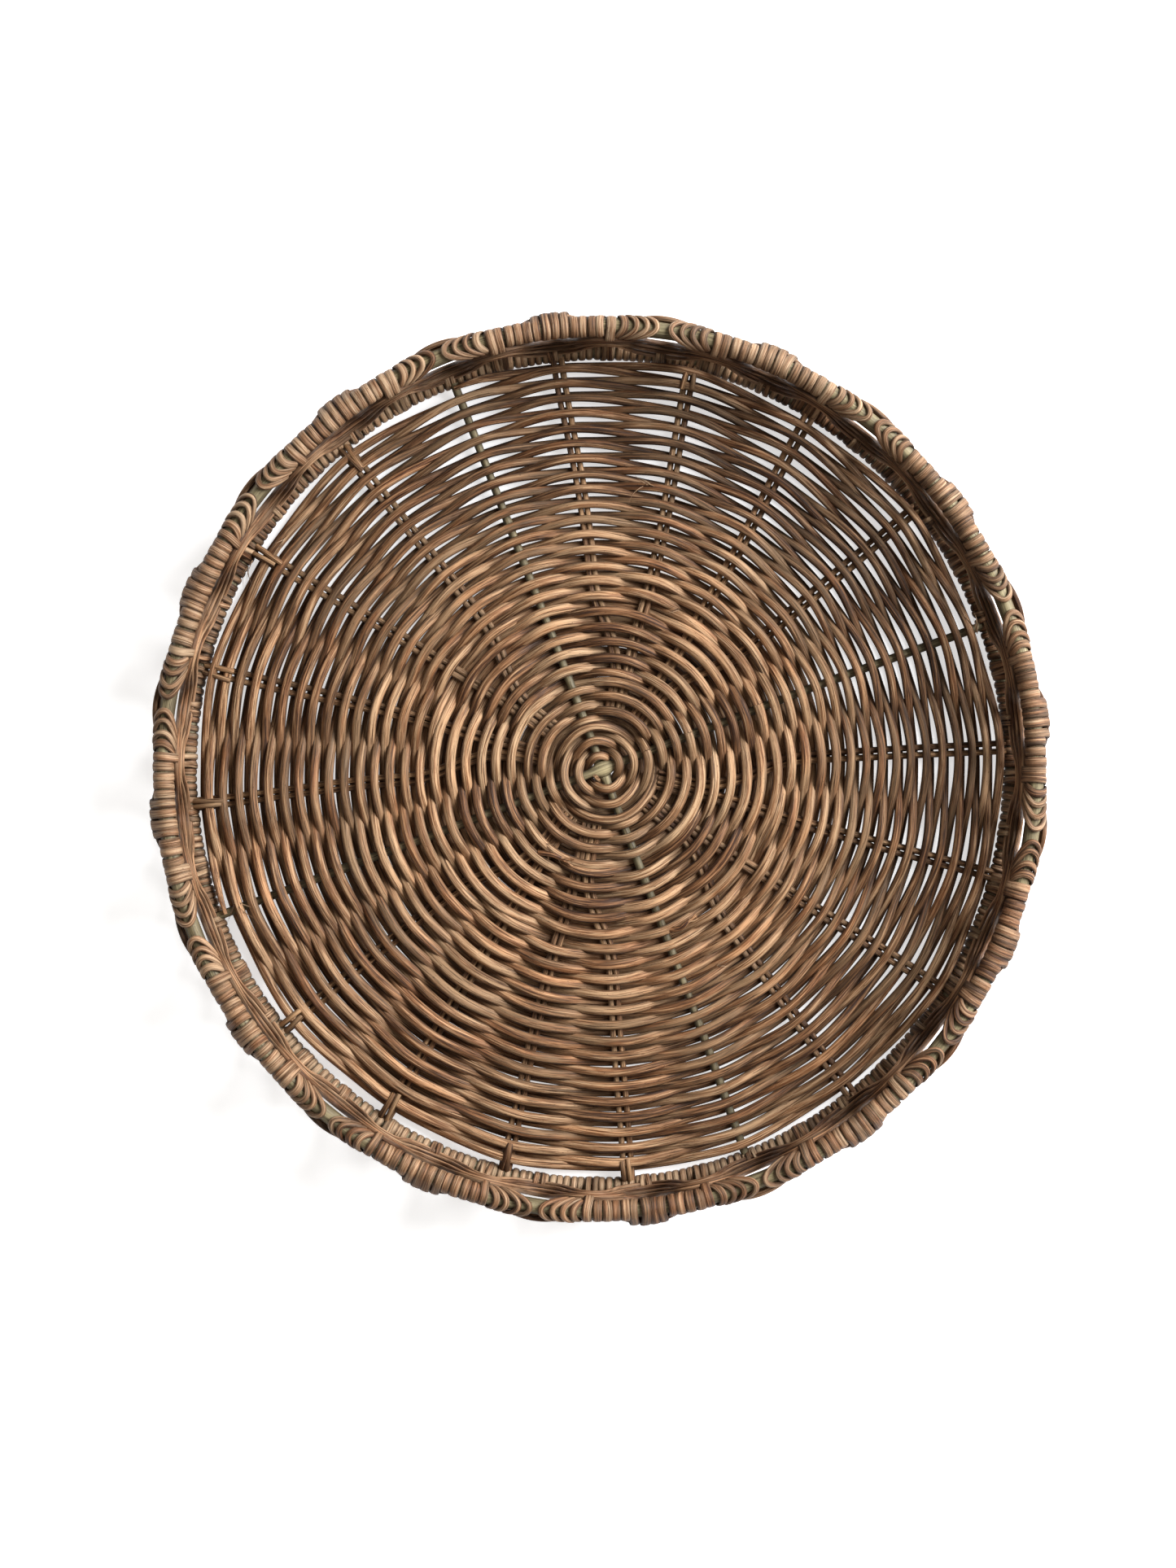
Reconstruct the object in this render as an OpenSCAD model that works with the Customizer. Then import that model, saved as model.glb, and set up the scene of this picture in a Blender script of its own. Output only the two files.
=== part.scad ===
// Round woven rattan tray basket: a flat randed base, two hoops and two bands of
// bent canes that run up and down between the hoops.
// Millimetres, +Z up. The origin is on the floor, at the middle of the basket.

/* [Hoops] */
// Radius of the lower hoop's centre line
lower_hoop_r = 220; // [219:0.5:222]
// How much wider the upper hoop is than the lower one, on the radius
flare = 3; // [0:0.5:6]
// Height of the upper hoop's centre line
upper_hoop_z = 54.9; // [50:0.1:70]
// Radius of the pole that both hoops are bent from
pole_r = 4.1; // [3.6:0.1:4.3]
// Radius over the peel wound round the lower hoop
lower_wrap_r = 4.75; // [4.6:0.05:5]
// Radius over the peel wound round the upper hoop
upper_wrap_r = 5.1; // [4.8:0.05:5.4]

/* [Base] */
// Angle of the first arm of the cross, from +X
arm_angle = 21; // [0:1:89]
// Radius of the two thick cross sticks
stick_r = 2.25; // [1.8:0.05:2.4]
// Radius of a spoke cane
cane_r = 1.6; // [1.2:0.05:1.7]
// Height of the base's middle plane
base_z = 6.5; // [6.4:0.05:7]
// Radius at which the weaving starts
weave_start_r = 9.4; // [9:0.1:11]
// Distance between neighbouring rows of weaving
row_pitch = 4; // [3.9:0.01:4.02]
// Side of a weaver, which is close to square once it is pressed into place
weaver_side = 3.5; // [3:0.1:3.7]
// How far a weaver rises over a spoke, from the middle plane
weaver_lift = 4.3; // [4:0.05:4.5]

/* [Wave bands] */
// Waves in one turn of each band
waves = 24; // [24:24:24]
// Height of the lowest point of a band's middle line
trough_z = 15.2; // [15.2:0.1:17]
// Height of the highest point of a band's middle line
crest_z = 50; // [48:0.1:52]
// Radius of the bend at each crest and trough
bend_r = 12.3; // [11.5:0.1:12.6]
// Side of a wave cane
wave_cane_side = 2.4; // [2:0.1:2.5]
// Distance between neighbouring canes of a band
wave_cane_pitch = 2.9; // [2.7:0.05:3]
// Canes in each band
wave_canes = 4; // [4:1:4]
// Distance from the wall's middle surface to a band's middle line
band_offset = 6.4; // [6.4:0.05:7]

/* [Lashings] */
// Number of lashed stretches on the upper hoop
lashings = 12; // [12:12:12]
// Angle that each lashed stretch covers
lashing_angle = 28; // [20:1:28]
// Angle of the middle of the first lashed stretch, from +X
first_lashing = 6.5; // [0:0.5:29]
// Width of one tie, as an angle
tie_angle = 1.6; // [1.2:0.1:2]
// Thickness of the peel in a tie
tie_t = 1; // [0.8:0.1:1.2]

/* [Hidden] */
fit = 0.12;
swept_sides = 6;
colour_weaver = "#b48c63";
colour_spoke = "#a8875f";
colour_stick = "#8f8663";
colour_peel = "#c2a27c";
colour_band = "#a97f58";

quarter = 90;
fan_step = 4.6;
lane = 2 * cane_r + 0.2;
spoke_start_r = 26;
spoke_end_r = lower_hoop_r - pole_r - fit;
split_half = 3.5;
second_half = 5;
four_angle = 12.5;
spread_in = 9.5;
spread_out = 25;
spread_gap = 1.12;
slype = 0.6;
cross_rise = stick_r + 0.05;
cross_reach = 5;

zone_turns = [0, 2, 5, 10, 24.5];
outer_groups = 20;
middle_start_r = weave_start_r + 2 * row_pitch * zone_turns[2];
middle_end_r = weave_start_r + 2 * row_pitch * zone_turns[3];

upper_hoop_r = lower_hoop_r + flare;
lower_hoop_z = 4.5;
wave_step = 360 / waves;
half_wave = PI * (2 * lower_hoop_r + flare) / waves / 2;
bend_angle = 60;
cavity_r = wave_cane_side / 2 + fit;
band_half = (wave_canes - 1) * wave_cane_pitch / 2 + wave_cane_side / 2;
tie_drop = 2.2;
tie_bulge = 0.3;

function two_digits(n) = str(n < 10 ? "0" : "", n);
WEAVERS = ["hub_weaver", "inner_weaver", "middle_weaver", "outer_weaver"];
SPOKE_NODES = [for (i = [1:16]) str("spoke_pair_", two_digits(i))];
LASHING_NODES = [for (i = [1:lashings]) str("top_lashing_", two_digits(i))];
INNER_NODES = [for (i = [1:wave_canes]) str("inner_wave_cane_", i)];
OUTER_NODES = [for (i = [1:wave_canes]) str("outer_wave_cane_", i)];
WEAVER_NODES = [for (w = WEAVERS, side = ["a", "b"]) str(w, "_", side)];

// ---- Swept strands ----

function unit(v) = v / norm(v);
function polar(r, angle, z) = [r * cos(angle), r * sin(angle), z];
function around(i, n, closed) = closed ? (i + n) % n : min(max(i, 0), n - 1);
function heading(path, i, closed) =
    unit(path[around(i + 1, len(path), closed)] - path[around(i - 1, len(path), closed)]);

// One ring of points round a path point; the first side direction is level
function ring(p, along, r, sides) =
    let (level = unit(cross([0, 0, 1], along)), upward = cross(along, level))
    [for (k = [0:sides - 1])
        let (a = 360 * (k + 0.5) / sides)
        p + r * (cos(a) * level + sin(a) * upward)];

function ring_faces(i, j, sides) =
    [for (k = [0:sides - 1])
        [i * sides + k, j * sides + k, j * sides + (k + 1) % sides, i * sides + (k + 1) % sides]];

// A strand of round or square section; radii holds one value for each path point
module strand(path, radii, sides, closed = false) {
    n = len(path);
    points = [for (i = [0:n - 1]) each ring(path[i], heading(path, i, closed), radii[i], sides)];
    sleeve = [for (i = [0:n - 2]) each ring_faces(i, i + 1, sides)];
    ends = closed
        ? ring_faces(n - 1, 0, sides)
        : [[for (k = [0:sides - 1]) k], [for (k = [sides - 1:-1:0]) (n - 1) * sides + k]];
    polyhedron(points = points, faces = concat(sleeve, ends), convexity = 10);
}

function all_same(value, path) = [for (p = path) value];

// ---- Base: cross sticks, spokes and weavers ----

module cross_stick(angle, side) {
    reach = [-1, -0.35, -0.08, -0.045, -0.02, 0, 0.02, 0.045, 0.08, 0.35, 1] * spoke_end_r;
    path = [for (x = reach)
        [x * cos(angle), x * sin(angle), base_z + side * cross_rise * exp(-pow(x / cross_reach, 2))]];
    color(colour_stick) strand(path, all_same(stick_r, path), swept_sides);
}

// Radius between the last row of one zone and the first row of the next, at an angle
function split_r(turn, angle) =
    weave_start_r + 2 * row_pitch * (turn + ((angle % 360) + 360) % 360 / 360) - row_pitch / 2;

// A point r along a direction, set off sideways by a distance
function offset_point(r, angle, sideways) =
    let (d = sqrt(r * r - sideways * sideways))
    [d * cos(angle) - sideways * sin(angle), d * sin(angle) + sideways * cos(angle), base_z];

// Cane k, from 0 to 7, of the bundle in one quadrant. It leaves the cross in one fan, splits
// into two bundles that open slowly into pairs, and runs out to the hoop as one of a pair.
function cane_path(middle, k) =
    let (
        fan = middle + (k - 3.5) * fan_step,
        four = middle + (k < 4 ? -1 : 1) * four_angle,
        spread = middle + (k < 4 ? -1 : 1) * (k < 2 || k > 5 ? spread_out : spread_in),
        pair = middle + (floor(k / 2) - 1.5) * 360 / outer_groups,
        four_side = (k % 4 - 1.5) * lane,
        pair_side = (k % 2 - 0.5) * lane,
        first = split_r(zone_turns[2], four - arm_angle),
        second = split_r(zone_turns[3], pair - arm_angle)
    )
    [
        polar(spoke_start_r, fan, base_z),
        polar(first - split_half, fan, base_z),
        offset_point(first + split_half, four, four_side),
        offset_point(second - second_half, spread, spread_gap * pair_side),
        offset_point(second + second_half, pair, pair_side),
        offset_point(spoke_end_r, pair, pair_side)
    ];

module spoke_pair(i) {
    middle = arm_angle + quarter / 2 + quarter * floor((i - 1) / 4);
    color(colour_spoke)
        for (k = [0, 1]) {
            path = cane_path(middle, 2 * ((i - 1) % 4) + k);
            strand(path, concat([slype * cane_r], [for (j = [1:5]) cane_r]), swept_sides);
        }
}

// Edges of the arm and of the two opening bundles that follow it, and the side a weaver takes
function bundle_edges(r) =
    let (
        open = (r - middle_start_r) / (middle_end_r - middle_start_r),
        near = (1 - open) * (four_angle - 2 * asin(lane / r)) + open * (spread_in - 1.3),
        far = (1 - open) * (four_angle + 2 * asin(lane / r)) + open * (spread_out + 1.3)
    )
    [[0, 1], [45 - far, -1], [45 - near, -1], [45 + near, 1], [45 + far, 1]];

// Places where a weaver's path turns in one zone: [angle from the arm, which side it passes]
function turns_at(zone, r) =
    zone == 0 ? [for (g = [0:3], e = [-0.4, -0.15, 0.15, 0.4])
        [quarter * (g + e), (g % 2 == 0 ? 1 : -1) * (abs(e) < 0.2 ? 1 : 0.3)]] :
    zone == 1 ? [for (g = [0:3], e = [-7, 7, 28, 45, 62])
        [quarter * g + e, abs(e) < 10 ? 1 : -1]] :
    zone == 2 ? [for (g = [0:3], e = bundle_edges(r))
        [quarter * g + e[0], (g % 2 == 0 ? 1 : -1) * e[1]]] :
    [for (g = [0:outer_groups - 1]) [360 / outer_groups * g, g % 2 == 0 ? 1 : -1]];

function weaver_path(zone, b) =
    [for (t = [zone_turns[zone]:zone_turns[zone + 1] - 0.1])
        each [for (v = turns_at(zone, weave_start_r + 2 * row_pitch * t))
            let (a = 360 * t + v[0])
            if (a >= 360 * zone_turns[zone] - 1 && a < 360 * zone_turns[zone + 1] - 1)
            polar(
                weave_start_r + b * row_pitch + row_pitch * a / 180,
                arm_angle + a,
                base_z + (b == 0 ? 1 : -1) * v[1] * weaver_lift
            )]];

module weaver(zone, b) {
    path = weaver_path(zone, b);
    color(colour_weaver) strand(path, all_same(weaver_side / sqrt(2), path), 4);
}

// ---- Hoops ----

module hoop(r, z) {
    color(colour_stick)
        rotate_extrude($fn = 96)
            translate([r, z])
                circle(r = pole_r, $fn = 32);
}

// The wound peel stands on a flat rim and has a groove that takes the spoke ends
module lower_hoop_wrap() {
    groove = 2 * stick_r + 2 * fit;
    color(colour_peel)
        rotate_extrude($fn = 96)
            difference() {
                translate([lower_hoop_r, lower_hoop_z])
                    circle(r = lower_wrap_r, $fn = 32);
                translate([lower_hoop_r, lower_hoop_z])
                    circle(r = pole_r + fit / 4, $fn = 32);
                translate([lower_hoop_r - 2 * lower_wrap_r, -lower_wrap_r])
                    square([4 * lower_wrap_r, lower_wrap_r]);
                translate([lower_hoop_r - 2 * lower_wrap_r, base_z - groove / 2])
                    square([2 * lower_wrap_r, groove]);
            }
}

// ---- Wave bands ----

// Radius of the wall's middle surface at a height
function wall_r(z) =
    lower_hoop_r + flare * (z - lower_hoop_z) / (upper_hoop_z - lower_hoop_z);

// One wave of one cane, d off the band's middle line, as [distance along, height]
function wave(d) =
    concat(
        [for (a = [-bend_angle, 0, bend_angle])
            [(bend_r + d) * sin(a), crest_z - bend_r + (bend_r + d) * cos(a)]],
        [for (a = [-bend_angle, 0, bend_angle])
            [half_wave + (bend_r - d) * sin(a), trough_z + bend_r - (bend_r - d) * cos(a)]]
    );

// side is -1 for the band inside the hoops and 1 for the band outside them
module wave_cane(i, side) {
    d = (i - (wave_canes + 1) / 2) * wave_cane_pitch;
    first_crest = first_lashing + (side < 0 ? wave_step / 2 : 0);
    path = [for (w = [0:waves - 1])
        each [for (p = wave(d))
            polar(
                wall_r(p[1]) + side * band_offset,
                first_crest + wave_step * (w + p[0] / (2 * half_wave)),
                p[1]
            )]];
    color(colour_band) strand(path, all_same(wave_cane_side / sqrt(2), path), 4, closed = true);
}

// ---- Ties and lashings ----

module at_angle(middle, width) {
    rotate([0, 0, middle - width / 2])
        rotate_extrude(angle = width, $fn = 96)
            children();
}

// Rectangle in section, from its middle radius and its two heights
module section_box(r, half, low, high) {
    translate([r - half, low]) square([2 * half, high - low]);
}

// A loop of peel round the canes at the bottom of a wave, sitting on the lower hoop
module trough_tie(side) {
    r = wall_r(trough_z) + side * band_offset;
    low = trough_z - band_half - fit;
    high = trough_z + band_half + tie_drop;
    difference() {
        union() {
            section_box(r, cavity_r + tie_t, low - tie_t, high + tie_t);
            section_box((r + lower_hoop_r) / 2, band_offset / 2, low - tie_t, low);
        }
        section_box(r, cavity_r, low, high);
        translate([lower_hoop_r, lower_hoop_z])
            circle(r = lower_wrap_r, $fn = 32);
    }
}

module trough_ties(side) {
    first = first_lashing + (side < 0 ? 0 : wave_step / 2);
    color(colour_peel)
        for (w = [0:waves - 1])
            at_angle(first + wave_step * w, tie_angle)
                trough_tie(side);
}

// Outline of the loop of peel round the upper hoop and the canes at the top of a wave
module crest_tie(side) {
    r = wall_r(crest_z) + side * band_offset;
    low = crest_z - band_half - tie_drop - tie_t;
    high = crest_z + band_half + fit + tie_t;
    inner_edge = side < 0 ? r - cavity_r - tie_t : upper_hoop_r - pole_r / 2;
    outer_edge = side < 0 ? upper_hoop_r + pole_r / 2 : r + cavity_r + tie_t;
    translate([upper_hoop_r, upper_hoop_z])
        circle(r = upper_wrap_r + tie_bulge, $fn = 32);
    translate([inner_edge, low])
        square([outer_edge - inner_edge, high - low]);
}

module crest_space(side) {
    r = wall_r(crest_z) + side * band_offset;
    section_box(r, cavity_r, crest_z - band_half - tie_drop, crest_z + band_half + fit);
}

module top_lashing(i) {
    side_ties = [-wave_step / 2, wave_step / 2];
    color(colour_peel)
        rotate([0, 0, first_lashing + 360 / lashings * (i - 1)])
            difference() {
                union() {
                    at_angle(0, lashing_angle)
                        translate([upper_hoop_r, upper_hoop_z])
                            circle(r = upper_wrap_r, $fn = 32);
                    at_angle(0, tie_angle) crest_tie(1);
                    for (a = side_ties) at_angle(a, tie_angle) crest_tie(-1);
                }
                at_angle(0, lashing_angle + 2)
                    translate([upper_hoop_r, upper_hoop_z])
                        circle(r = pole_r + fit / 4, $fn = 32);
                at_angle(0, tie_angle + 1) crest_space(1);
                for (a = side_ties) at_angle(a, tie_angle + 1) crest_space(-1);
            }
}

cross_stick(arm_angle, 1);  // cross_stick_a
cross_stick(arm_angle + quarter, -1);  // cross_stick_b
for (i = [1:16]) spoke_pair(i);
for (i = [0:7]) weaver(floor(i / 2), i % 2);
hoop(lower_hoop_r, lower_hoop_z);  // lower_hoop
lower_hoop_wrap();
hoop(upper_hoop_r, upper_hoop_z);  // top_hoop
for (i = [1:wave_canes]) wave_cane(i, -1);
for (i = [1:wave_canes]) wave_cane(i, 1);
trough_ties(-1);  // inner_trough_ties
trough_ties(1);  // outer_trough_ties
for (i = [1:lashings]) top_lashing(i);
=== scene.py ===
"""Looks of a round woven rattan tray basket, built strand by strand around its CAD frame.

Everything is worked out in millimetres and turned into metres when a mesh is made.
"""

import math

import bpy
import numpy as np
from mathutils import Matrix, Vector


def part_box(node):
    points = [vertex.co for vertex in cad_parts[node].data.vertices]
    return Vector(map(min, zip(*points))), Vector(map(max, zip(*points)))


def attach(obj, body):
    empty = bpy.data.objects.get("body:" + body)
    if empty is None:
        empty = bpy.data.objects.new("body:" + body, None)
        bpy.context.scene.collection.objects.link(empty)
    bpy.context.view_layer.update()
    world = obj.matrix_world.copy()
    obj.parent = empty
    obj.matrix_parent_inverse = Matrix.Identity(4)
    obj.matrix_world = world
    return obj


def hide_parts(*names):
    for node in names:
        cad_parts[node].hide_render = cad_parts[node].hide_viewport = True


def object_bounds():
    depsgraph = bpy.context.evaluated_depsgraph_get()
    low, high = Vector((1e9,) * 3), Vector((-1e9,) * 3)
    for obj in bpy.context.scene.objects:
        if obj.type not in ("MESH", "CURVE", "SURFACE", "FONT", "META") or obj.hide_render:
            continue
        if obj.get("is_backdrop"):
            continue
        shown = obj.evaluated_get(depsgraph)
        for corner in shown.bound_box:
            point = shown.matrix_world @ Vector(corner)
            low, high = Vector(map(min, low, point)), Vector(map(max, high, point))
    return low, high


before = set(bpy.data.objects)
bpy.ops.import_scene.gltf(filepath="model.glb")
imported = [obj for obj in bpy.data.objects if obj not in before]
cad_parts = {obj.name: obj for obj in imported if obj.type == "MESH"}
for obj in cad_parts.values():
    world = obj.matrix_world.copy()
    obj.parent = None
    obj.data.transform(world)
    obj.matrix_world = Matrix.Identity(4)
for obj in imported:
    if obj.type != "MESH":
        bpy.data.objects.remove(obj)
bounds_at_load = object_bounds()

MM = 0.001
TAU = 2 * math.pi
UP = np.array([0.0, 0.0, 1.0])


# ---- Sizes, read from the CAD nodes ----


def box_mm(node):
    """Lowest and highest corner of a CAD node, in millimetres."""
    low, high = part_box(node)
    return np.array(low) / MM, np.array(high) / MM


def hoop_size(node):
    """Centre-line radius, centre height and section radius of a hoop."""
    low, high = box_mm(node)
    section = (high[2] - low[2]) / 2
    return high[0] - section, (high[2] + low[2]) / 2, section


LOWER_R, LOWER_Z, POLE_R = hoop_size("lower_hoop")
UPPER_R, UPPER_Z, _ = hoop_size("top_hoop")
WRAP_R = box_mm("lower_hoop_wrap")[1][0] - LOWER_R
spoke_low, spoke_high = box_mm("spoke_pair_05")
BASE_Z = spoke_low[2] / 2 + spoke_high[2] / 2
CANE_R = spoke_high[2] - BASE_Z
WAVE_HALF = 1.2
lowest_cane_foot, lowest_cane_top = box_mm("inner_wave_cane_1")
highest_cane_foot, highest_cane_top = box_mm("inner_wave_cane_4")
CREST_Z = (highest_cane_top[2] + lowest_cane_top[2]) / 2 - WAVE_HALF
TROUGH_Z = (highest_cane_foot[2] + lowest_cane_foot[2]) / 2 + WAVE_HALF


# ---- Sizes of the strands, in millimetres and degrees, as in the CAD ----

# The base. Its four arms are the two cross sticks, and the first one points along ARM_ANGLE. The
# canes between them start at HUB_R, lie FOUR_PITCH apart in the fours and PAIR_PITCH in the pairs.
ARM_ANGLE = 21.0
STICK_R = 2.3
HUB_R = 30.0
FOUR_PITCH = 3.0
PAIR_PITCH = 3.45
RIM_PAIR_PITCH = 4.1

# The weave. A zone of it begins at each of ZONE_TURNS, counted from ARM_ANGLE, where the canes
# of the base split into smaller groups. Weaver b runs between the rows of weaver a. PRESSED is
# how much of a weaver's half width it stands off the cane that it crosses.
WEAVE_START = 9.4
ROW_PITCH = 4.0
ZONE_TURNS = [0, 2, 5, 10]
ZONE_NAMES = ["hub_weaver", "inner_weaver", "middle_weaver", "outer_weaver"]
START_TURN = {"a": -0.45, "b": -1.06}
END_TURN = {"a": 25.5, "b": 25.25}
WEAVER_HALF = 2.12
PRESSED = 0.94
END_TAPER = 0.45
WEAVE_EDGE = 213.4

# In each zone, how much of a straight line a weaver takes from one group to the next, 0 to 1,
# at two radii in order.
STRAIGHTNESS = [
    ((8, 25), (0.32, 0.08)),
    ((25, 49), (0.6, 0.4)),
    ((49, 89), (0.6, 0.45)),
    ((89, 140), (0.6, 0.45)),
]

# How far each of the twenty groups leans off its even place at the hoop, from the first arm
# onward. The real basket was woven by hand and its spokes drift.
LEAN = [-0.7, 0.0, 2.0, 2.0, 3.0, 0.0, 0.0, 1.0, 1.0, 2.0]
LEAN += [0.0, 0.0, 1.0, 1.5, 1.0, 0.0, -1.0, 0.5, 0.0, 0.0]

# The wall. Its wave bands have a crest and a trough every WAVE_STEP, and FIRST_LASHING is the
# direction of the first lashing on the upper hoop, over a crest of the outer band.
WAVES = 24
WAVE_STEP = 360.0 / WAVES
HALF_WAVE = math.pi * (LOWER_R + UPPER_R) / 2 / WAVES
WAVE_PITCH = 2.9
BEND_R = 12.3
LOWER_TURNS = 352
FIRST_LASHING = 6.5
LASHINGS = 12
STRAIGHT_WRAPS = 14

# Wraps this near to the middle of a crest go round its canes too. At a trough there are two ties,
# each TIE_OFFSET from its middle.
OUTER_CREST_HALF = 11.0
INNER_CREST_HALF = 2.7
TIE_OFFSET = 1.7
TIE_MM_PER_DEGREE = 3.84

# How much painted shade darkens a strand's sides, and how deep the relief of its fibres is, in metres.
SIDE_PAINTED_SHADE = 0.75
RELIEF = 0.0007


# ---- Small tools ----


def polar(radius, degrees, z):
    """Points at a radius and an angle, one row each."""
    angle = np.radians(degrees)
    radius, angle, z = np.broadcast_arrays(radius, angle, z)
    return np.stack([radius * np.cos(angle), radius * np.sin(angle), z], axis=-1).astype(float)


def step(x):
    """Eased 0 to 1."""
    x = np.clip(x, 0, 1)
    return x * x * (3 - 2 * x)


def drift(rng, along, wavelength):
    """Slow smooth noise from -1 to 1 along a strand."""
    x = (np.asarray(along, float) - np.min(along)) / wavelength
    knots = rng.uniform(-1, 1, int(x.max()) + 3)
    i = x.astype(int)
    f = step(x - i)
    return knots[i] * (1 - f) + knots[i + 1] * f


def blurred(values, spread):
    """Values smoothed over a number of samples, with the ends held."""
    reach = int(3 * spread) + 1
    kernel = np.exp(-0.5 * (np.arange(-reach, reach + 1) / spread) ** 2)
    kernel /= kernel.sum()
    values = np.asarray(values, float)
    if values.ndim == 1:
        return np.convolve(np.pad(values, reach, mode="edge"), kernel, mode="valid")
    return np.stack([blurred(values[:, i], spread) for i in range(values.shape[1])], axis=1)


def run_length(path):
    """Distance along a path at each of its points."""
    steps = np.linalg.norm(np.diff(path, axis=0), axis=1)
    return np.concatenate([[0], np.cumsum(steps)])


def resampled(path, spacing):
    """The path at even spacing."""
    s = run_length(path)
    count = max(3, int(round(s[-1] / spacing)) + 1)
    at = np.linspace(0, s[-1], count)
    return np.stack([np.interp(at, s, path[:, i]) for i in range(3)], axis=1)


def handmade(points):
    """The real basket is a touch oval, and its hub sits a little to one side of the hoops."""
    bent = points * [0.993, 1.007, 1.0]
    radius = np.hypot(points[:, 0], points[:, 1])
    bent[:, 0] += 1.6 * np.clip(1 - (radius / 212) ** 2, 0, 1)
    return bent


def unit(vectors):
    """Vectors scaled to length one."""
    return vectors / np.maximum(np.linalg.norm(vectors, axis=-1, keepdims=True), 1e-9)


def tone_of(rng, redness=0.5, greyness=0.5):
    """Brightness, redness and greyness of one length of cane."""
    bright = rng.uniform(0, 1)
    red = rng.beta(1.2, 1.8) * 2 * redness
    grey = rng.beta(1.2, 2.2) * 2 * greyness
    return np.array([bright, red, grey])


def tones_along(rng, along, shortest, longest):
    """A new tone for each length of cane that was joined on."""
    tones = np.zeros((len(along), 3))
    start = along[0] - rng.uniform(0, shortest)
    while start < along[-1]:
        end = start + rng.uniform(shortest, longest)
        tones[(along >= start) & (along < end)] = tone_of(rng)
        start = end
    tones[-1] = tones[-2]
    return tones


class Piece:
    """Gathers swept strands and becomes one mesh that carries its grain."""

    def __init__(self, name, seed):
        self.name = name
        self.rng = np.random.default_rng(seed)
        self.points = []
        self.faces = []
        self.grain = []
        self.tone = []
        self.shade = []
        self.count = 0

    def _keep(self, points, grain, tone, shade):
        """Adds points with their grain and colour, and says which number the first one has."""
        first = self.count
        self.points.append(points)
        self.grain.append(grain)
        self.tone.append(np.broadcast_to(tone, (len(points), 3)))
        self.shade.append(np.broadcast_to(shade, (len(points),)))
        self.count += len(points)
        return first

    def strand(
        self, path, outward, half_w, half_t, sides=8, closed=False, tone=None, shade=1.0, power=2.3
    ):
        """Sweeps a rounded section along a path. half_t is measured along outward and half_w
        across it. A power of 2 makes the section an ellipse, and a higher one squarer."""
        count = len(path)
        if closed:
            along = unit(np.roll(path, -1, axis=0) - np.roll(path, 1, axis=0))
        else:
            along = unit(np.gradient(path, axis=0))
        outward = np.broadcast_to(outward, path.shape)
        across = unit(np.cross(along, outward))
        outward = np.cross(across, along)
        half_w = np.broadcast_to(np.asarray(half_w, float), (count,))
        half_t = np.broadcast_to(np.asarray(half_t, float), (count,))
        phi = TAU * (np.arange(sides) + 0.5) / sides
        c = np.sign(np.cos(phi)) * np.abs(np.cos(phi)) ** (2 / power)
        s = np.sign(np.sin(phi)) * np.abs(np.sin(phi)) ** (2 / power)
        w = half_w[:, None] * c[None, :]
        t = half_t[:, None] * s[None, :]
        points = path[:, None, :] + w[..., None] * across[:, None, :]
        points = points + t[..., None] * outward[:, None, :]
        distance = run_length(path)
        shift = self.rng.uniform(0, 900, 3)
        grain = np.stack([w, t, np.broadcast_to(distance[:, None], w.shape)], axis=-1) + shift
        tone = tone_of(self.rng) if tone is None else np.asarray(tone, float)
        tone = np.broadcast_to(tone, (count, 3))
        shade = np.broadcast_to(np.asarray(shade, float), (count,))
        # Painted shade: each strand is darker along its sides, where it meets its neighbours.
        side_shaded = shade[:, None] * (1 - SIDE_PAINTED_SHADE * np.abs(np.cos(phi)) ** 4)[None, :]
        tones = np.repeat(tone, sides, axis=0)
        first = self._keep(points.reshape(-1, 3), grain.reshape(-1, 3), tones, side_shaded.ravel())
        rings = count if closed else count - 1
        i = np.arange(rings)[:, None]
        j = (i + 1) % count
        k = np.arange(sides)[None, :]
        m = (k + 1) % sides
        corners = [i * sides + k, i * sides + m, j * sides + m, j * sides + k]
        quads = np.stack(corners, axis=-1).reshape(-1, 4)
        self.faces.extend((quads + first).tolist())
        if not closed:
            for ring, turn in ((0, -1), (count - 1, 1)):
                cap = self._keep(points[ring], grain[ring], tone[ring], shade[ring] * 0.8)
                self.faces.append([cap + n for n in range(sides)][::turn])

    def build(self, slot, material, nodes=(), floor=None):
        """Makes the object, hangs it on the frame and hides the CAD nodes it stands for."""
        points = handmade(np.concatenate(self.points))
        if floor is not None:
            points[:, 2] = np.maximum(points[:, 2], floor)
        mesh = bpy.data.meshes.new(self.name)
        mesh.from_pydata((points * MM).tolist(), [], self.faces)
        for name, kind, values in (
            ("grain", "FLOAT_VECTOR", np.concatenate(self.grain)),
            ("tone", "FLOAT_VECTOR", np.concatenate(self.tone)),
            ("shade", "FLOAT", np.concatenate(self.shade)),
        ):
            attribute = mesh.attributes.new(name, kind, "POINT")
            key = "vector" if kind == "FLOAT_VECTOR" else "value"
            attribute.data.foreach_set(key, values.astype(np.float32).ravel())
        mesh.shade_smooth()
        mesh.materials.append(material)
        mesh.validate()
        mesh.update()
        obj = bpy.data.objects.new(self.name, mesh)
        bpy.context.scene.collection.objects.link(obj)
        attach(obj, "root")
        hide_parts(*nodes)


# ---- Materials ----


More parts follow.
